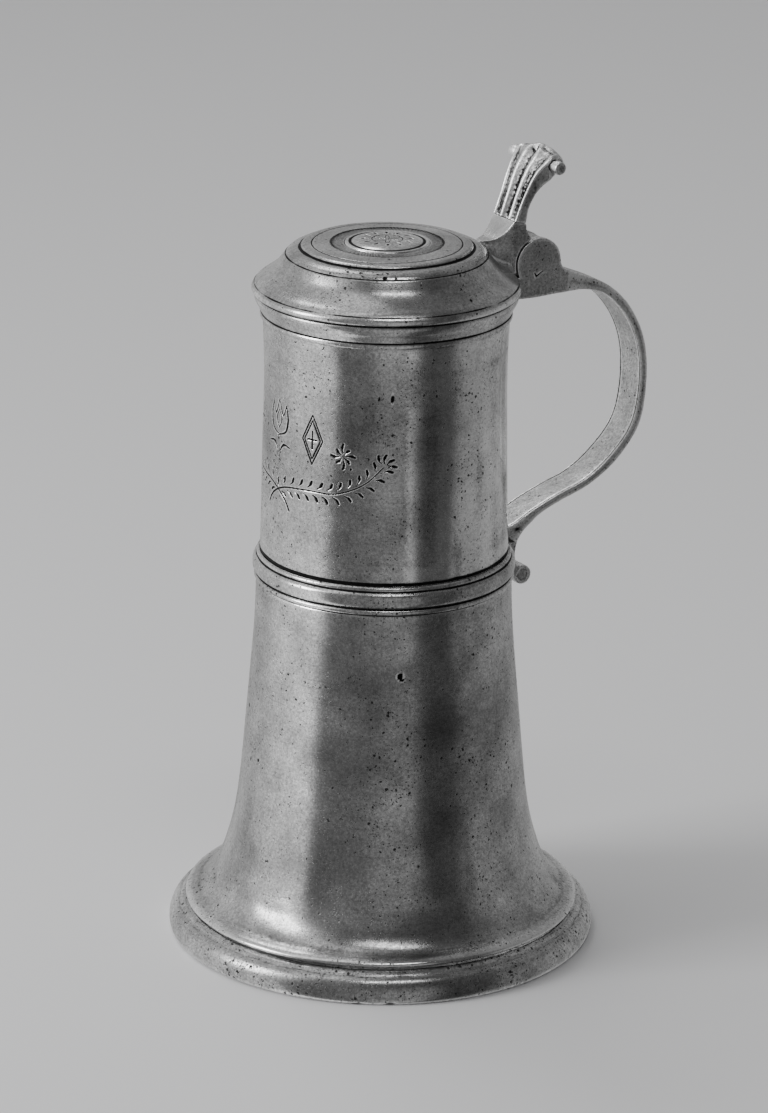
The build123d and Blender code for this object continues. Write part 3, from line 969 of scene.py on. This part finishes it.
def make_tail():
    outer = [(51.25, 134.4), (50.6, 131.4), (50.5, 128.4), (51.3, 125.9), (53.0, 124.6)]
    inner = [(50.6, 121.0), (48.5, 124.6), (47.2, 127.6), (46.3, 130.4), (45.9, 134.4)]
    line = [tuple(p) for p in np.r_[smooth_path(outer, 0.5), smooth_path(inner, 0.5)]]
    tail = slab("handle_tail_cast", line, -tail_half, tail_half)
    scroll = slab("scroll", circle(scroll_centre, 3.4), -tail_half + 0.05, tail_half - 0.05)
    combine(tail, scroll, "UNION")
    for side in (1, -1):
        near, far = sorted((side * (tail_half - 0.3), side * (tail_half + 1)))
        combine(tail, slab("eye", circle(scroll_centre, 2.3), near, far), "DIFFERENCE")
    combine(tail, wall_cutter(girdle_radius - 0.4, girdle_low - 4, girdle_high), "DIFFERENCE")
    remesh(tail, 0.2, 0.5, 4)
    roughen(tail)
    finish_cast(tail, "vessel", ["handle_tail"], softened_relief(tail, 0.5, 0.02))


# Front edge of the lug's polished panel in the side view, from its tip on the lid to the thumbpiece.
panel_line = [(35.6, 243.9), (37.6, 244.2), (40.4, 244.8), (43.0, 246.5), (45.0, 248.8), (46.3, 250.6)]


def make_lug():
    """The wedge on the lid. Its sides draw in below the polished panel and flare at the lid."""
    centre = (hinge[X], hinge[Z])
    face = smooth_path(panel_line, 0.5)
    recess = circle(centre, recess_radius, 110, 194, 60)
    line = [tuple(p) for p in face] + [(48.8, 250.0), (51.05, 249.35), (51.5, 246.8)] + recess
    line += [(46.7, lid_low + 1.3), (45.0, lid_low + 1.4), (43.0, 233.2), (39.5, 235.9), (36.6, 239.0)]
    line += [(35.0, 242.0)]
    lug = slab("lid_lug_cast", line, -lug_half, lug_half)
    remesh(lug, 0.24, 0.3, 1)
    points = read_points(lug.data)
    x, y, z = points.T
    top = np.interp(x, *np.array(panel_line).T)
    floor = lid_height(np.hypot(x, 0.6 * lug_half))
    drop = np.clip((top - z) / np.maximum(top - floor, 1.0), 0, 1)
    panel_at = [35.6, 37, 39, 41, 43, 45, 46.4, 48, 50]
    panel_half = np.interp(x, panel_at, [1.2, 2.2, 3.2, 4.3, 5.4, 6.4, 6.95, 7.2, 7.25])
    half = panel_half + (lug_half - 0.1 - panel_half) * drop**1.6
    waist = 0.5 * np.sin(pi * np.clip(drop * 1.15, 0, 1)) * np.clip((53 - x) / 3, 0, 1)
    flange = 0.45 * np.clip((drop - 0.84) / 0.06, 0, 1) * np.clip((48 - x) / 2, 0, 1)
    half = np.minimum(half - waist + flange, lug_half - 0.1)
    write_points(lug.data, np.c_[x, y * half / lug_half, z])
    modify(lug, "SMOOTH", factor=0.4, iterations=3)
    roughen(lug)
    finish_cast(lug, "lid", ["lid_lug"], softened_relief(lug, 0.4, 0.02))
    # The front of the polished panel takes the lighter pewter, which paints a highlight on it as well as its
    # polish.
    lug.data.materials.append(polished_highlit_pewter)
    for polygon in lug.data.polygons:
        centre_x, centre_z = polygon.center.x / MM, polygon.center.z / MM
        if polygon.normal.x < -0.35 and abs(polygon.normal.y) < 0.45 and centre_x < 47.5:
            if abs(centre_z - np.interp(centre_x, *np.array(panel_line).T)) < 0.6:
                polygon.material_index = 1


def knob(side):
    """A small turned knob at a shoulder of the thumbpiece, with a rounded, slightly hollow end."""
    end = knob_reach - 0.2
    line = [(0, 8.2), (1.5, 8.2), (1.6, 10.8), (2.05, 11.7), (2.3, 12.9), (2.3, 14.0), (2.0, end - 0.1)]
    line += [(1.4, end), (0.8, end - 0.05), (0, end - 0.08)]
    line = smooth_path(line, 0.15)
    turns = np.linspace(0, 2 * pi, 48, endpoint=False)
    x, z = knob_centre
    points = []
    for radius, y in line:
        radius = max(radius, 0.01)
        points += [(x + radius * cos(t), side * y, z + radius * sin(t)) for t in turns]
    obj = new_object("knob", points, grid_faces(len(line), len(turns), True, True))
    outward(obj)
    return obj


def join(objects):
    """One object with the meshes of several, which are used up."""
    bm = bmesh.new()
    for obj in objects:
        bm.from_mesh(obj.data)
    bm.to_mesh(objects[0].data)
    bm.free()
    for obj in objects[1:]:
        bpy.data.objects.remove(obj)
    return objects[0]


def make_thumbpiece():
    """A plate between a fluted front and a plain back. share runs up it, and u runs across it."""
    rows, columns = 190, 150
    share = np.linspace(0, 1, rows)
    level = share[:, None]
    u = np.linspace(-1, 1, columns)[None, :]
    a = np.abs(u)

    def profile(points):
        line = smooth_path(points, 0.22)
        return np.c_[[np.interp(share, np.linspace(0, 1, len(line)), line[:, k]) for k in (0, 1)]].T

    front_line = [(46.4, 250.7), (48.9, 257.6), (51.6, 264.7), (54.8, 270.4), (58.6, 274.7), (61.6, 274.9)]
    front = profile(front_line + [(64.4, 272.2), (66.0, 269.4)])
    back = profile([(51.0, 249.5), (52.5, 256.3), (56.2, 262.7), (61.6, 266.9), (66.0, 269.2)])
    slope = np.gradient(front, axis=0)
    slope /= np.linalg.norm(slope, axis=1)[:, None]
    normal = np.c_[-slope[:, 1], slope[:, 0]]
    half_at, halves = [0, 0.2, 0.42, 0.56, 0.66, 0.76, 0.9, 1.0], [7.25, 7.4, 8.5, 9.8, 11.0, 10.6, 8.0, 5.5]
    across = np.interp(share, half_at, halves)[:, None] * u
    # Ribs: two at the edges and two inside them, which lean together and close in an arch.
    inner_rib = np.interp(share, [0, 0.45, 0.62, 0.72, 0.80], [0.36, 0.36, 0.34, 0.24, 0.02])
    rib = bell(a, inner_rib[:, None], 0.15) * (level < 0.80)
    edge = bell(a, 0.93, 0.12)
    cap = np.clip((level - 0.76) / 0.06, 0, 1)
    middle = bell(u, 0, 0.17) * np.clip((0.79 - level) / 0.05, 0, 1)
    groove = (1 - np.clip(rib + edge, 0, 1)) * (1 - cap)
    eye = bell(u, 0, 0.2) * bell(level, 0.70, 0.05)
    pitted = rng.normal(size=(rows, columns))
    for _ in range(3):
        beside = [np.roll(pitted, way, axis) for axis in (0, 1) for way in (1, -1)]
        pitted = sum([pitted, *beside]) / 5
    depth = 0.9 * groove + 0.7 * middle + 1.3 * eye + 0.10 * groove * np.clip(pitted, -1, 1)
    bow = 0.9 * u**2 * np.clip(level * 2, 0, 1)
    droop = 2.6 * np.clip((level - 0.5) / 0.3, 0, 1) * a**2.2
    fx = front[:, 0:1] - normal[:, 0:1] * depth + bow
    fz = front[:, 1:2] - normal[:, 1:2] * depth - droop
    bx, bz = (np.repeat(back[:, k : k + 1], columns, 1) for k in (0, 1))
    plate_front = np.stack([fx, across, fz], -1).reshape(-1, 3)
    plate_back = np.stack([bx, across * 0.94, bz], -1).reshape(-1, 3)
    count = rows * columns
    grid = np.arange(count).reshape(rows, columns)
    border = [*grid[0], *grid[1:, -1], *grid[-1, -2::-1], *grid[-2:0:-1, 0]]
    front_faces = grid_faces(rows, columns, False, False)
    faces = front_faces.tolist() + (front_faces[:, ::-1] + count).tolist()
    for start, end in zip(border, border[1:] + border[:1]):
        faces.append((start, end, end + count, start + count))
    plate = new_object("thumbpiece_cast", np.r_[plate_front, plate_back], faces)
    outward(plate, merge=0.002)
    thumb = join([plate, knob(1), knob(-1)])
    remesh(thumb, 0.17, 0.5, 4)
    roughen(thumb)
    finish_cast(thumb, "lid", ["thumbpiece"], softened_relief(thumb, 0.75, 0.032))


make_foot()
make_skirt()
make_girdle()
make_drum()
make_mouth_band()
make_lid()
make_medallion()
make_block()
make_strap()
make_tail()
make_lug()
make_thumbpiece()


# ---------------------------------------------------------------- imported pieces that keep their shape

def dress(node, material):
    """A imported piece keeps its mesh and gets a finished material."""
    obj = frame["nodes"][node]
    obj.data.materials.clear()
    obj.data.materials.append(material)


iron = pewter("iron", tone=0.16, rough=0.5, pits=1.2, turned=0.0)
dress("base_plate", inner_pewter)
dress("lid_bezel", inner_pewter)
dress("hinge_knuckle", cast_pewter)
dress("hinge_pin", iron)


# ---------------------------------------------------------------- floor, light and camera

def make_floor():
    """A plain pale floor, 10 m wide, that the metal doesn't mirror."""
    reach = 5.0
    corners = [(-reach, -reach, 0), (reach, -reach, 0), (reach, reach, 0), (-reach, reach, 0)]
    obj = new_object("floor", corners, [(0, 1, 2, 3)])
    mat = bpy.data.materials.new("pale_floor")
    mat.use_nodes = True
    shader = mat.node_tree.nodes["Principled BSDF"]
    shader.inputs["Base Color"].default_value = (0.80, 0.80, 0.81, 1)
    shader.inputs["Roughness"].default_value = 0.75
    obj.data.materials.append(mat)
    obj.visible_glossy = False


def area_light(name, azimuth, height, distance, width, tall, power, target=(0, 0, 0.13)):
    turn = radians(azimuth)
    place = Vector((sin(turn) * distance, -cos(turn) * distance, height))
    light = bpy.data.lights.new(name, "AREA")
    light.shape = "RECTANGLE"
    light.size, light.size_y = width, tall
    light.energy = power
    obj = bpy.data.objects.new(name, light)
    obj.location = place
    obj.rotation_mode = "QUATERNION"
    obj.rotation_quaternion = (Vector(target) - place).to_track_quat("-Z", "Y")
    bpy.context.scene.collection.objects.link(obj)


CAMERA_AZIMUTH = -31.0
make_floor()
area_light("key_left", CAMERA_AZIMUTH - 75, 0.75, 1.3, 0.5, 0.8, 12)
area_light("back", CAMERA_AZIMUTH - 150, 1.5, 0.9, 0.6, 0.4, 4)
area_light("top", CAMERA_AZIMUTH + 12, 1.9, 0.8, 0.7, 0.3, 4)

# What the metal mirrors all round it: azimuth from the camera's side in degrees, and brightness.
low_screens = [(-180, 0.55), (-140, 0.8), (-58, 1.3), (-50, 0.21), (-14, 0.23), (0, 0.36), (27, 0.42)]
low_screens += [(35, 0.085), (62, 0.085), (72, 0.26), (120, 0.36), (160, 0.40)]
high_screens = [(-180, 0.5), (-140, 0.7), (-58, 1.3), (-44, 0.24), (0, 0.15), (60, 0.09), (110, 0.2)]
high_screens += [(160, 0.3)]


def make_studio():
    """A plain pale backdrop to the eye. The metal mirrors a ring of soft light and dark screens."""
    world = bpy.data.worlds.new("studio")
    world.use_nodes = True
    bpy.context.scene.world = world
    feed, node, math = node_kit(world.node_tree)
    background = world.node_tree.nodes["Background"]
    way = node("SeparateXYZ", Vector=node("TexCoord").outputs["Generated"])
    # The turn runs clockwise from +Y. The ramps' middle is the camera's side, and their left is left.
    turn = math("ARCTAN2", way.outputs["X"], way.outputs["Y"])
    share = math("MULTIPLY_ADD", turn, -1 / (2 * pi), 1 - CAMERA_AZIMUTH / 360)
    wrapped = math("WRAP", share, 0.0, 1.0)

    def ring(screens):
        ramp = node("ValToRGB", Fac=wrapped)
        ramp.color_ramp.interpolation = "EASE"
        stops = ramp.color_ramp.elements
        stops[0].color = stops[1].color = (screens[0][1],) * 3 + (1,)
        for azimuth, glow in screens[1:]:
            stops.new(azimuth / 360 + 0.5).color = (glow, glow, glow, 1)
        return ramp.outputs["Color"]

    def blend(amount, first, second):
        mix = node("Mix")
        mix.data_type = "RGBA"
        sockets = (mix.inputs["Factor"], mix.inputs[6], mix.inputs[7])
        for socket, value in zip(sockets, (amount, first, second)):
            feed(socket, value)
        return mix.outputs[2]

    climb = node("MapRange", Value=way.outputs["Z"], From_Min=0.1, From_Max=0.55)
    mirrored = blend(climb.outputs["Result"], ring(low_screens), ring(high_screens))
    seen = blend(node("LightPath").outputs["Is Camera Ray"], mirrored, (0.72, 0.72, 0.73, 1))
    feed(background.inputs["Color"], seen)
    feed(background.inputs["Strength"], 1.0)


make_studio()


def make_camera():
    """The camera stands as the photographer's did: a long lens, a little above the lid."""
    turn, pitch, roll = radians(CAMERA_AZIMUTH), radians(18.95), radians(0.6)
    distance, height = 1.6, 0.6853
    place = Vector((sin(turn) * distance, -cos(turn) * distance, height))
    forward = Vector((-sin(turn) * cos(pitch), cos(turn) * cos(pitch), -sin(pitch)))
    right = Vector((cos(turn), sin(turn), 0))
    up = right.cross(forward)
    tilted_right = right * cos(roll) + up * sin(roll)
    tilted_up = up * cos(roll) - right * sin(roll)
    cam = bpy.data.cameras.new("camera")
    cam.lens, cam.sensor_width = 158.7, 36.0
    cam.clip_start, cam.clip_end = 0.1, 30
    obj = bpy.data.objects.new("camera", cam)
    turned = Matrix((tilted_right, tilted_up, -forward)).transposed()
    obj.matrix_world = Matrix.Translation(place) @ turned.to_4x4()
    bpy.context.scene.collection.objects.link(obj)
    bpy.context.scene.camera = obj


make_camera()
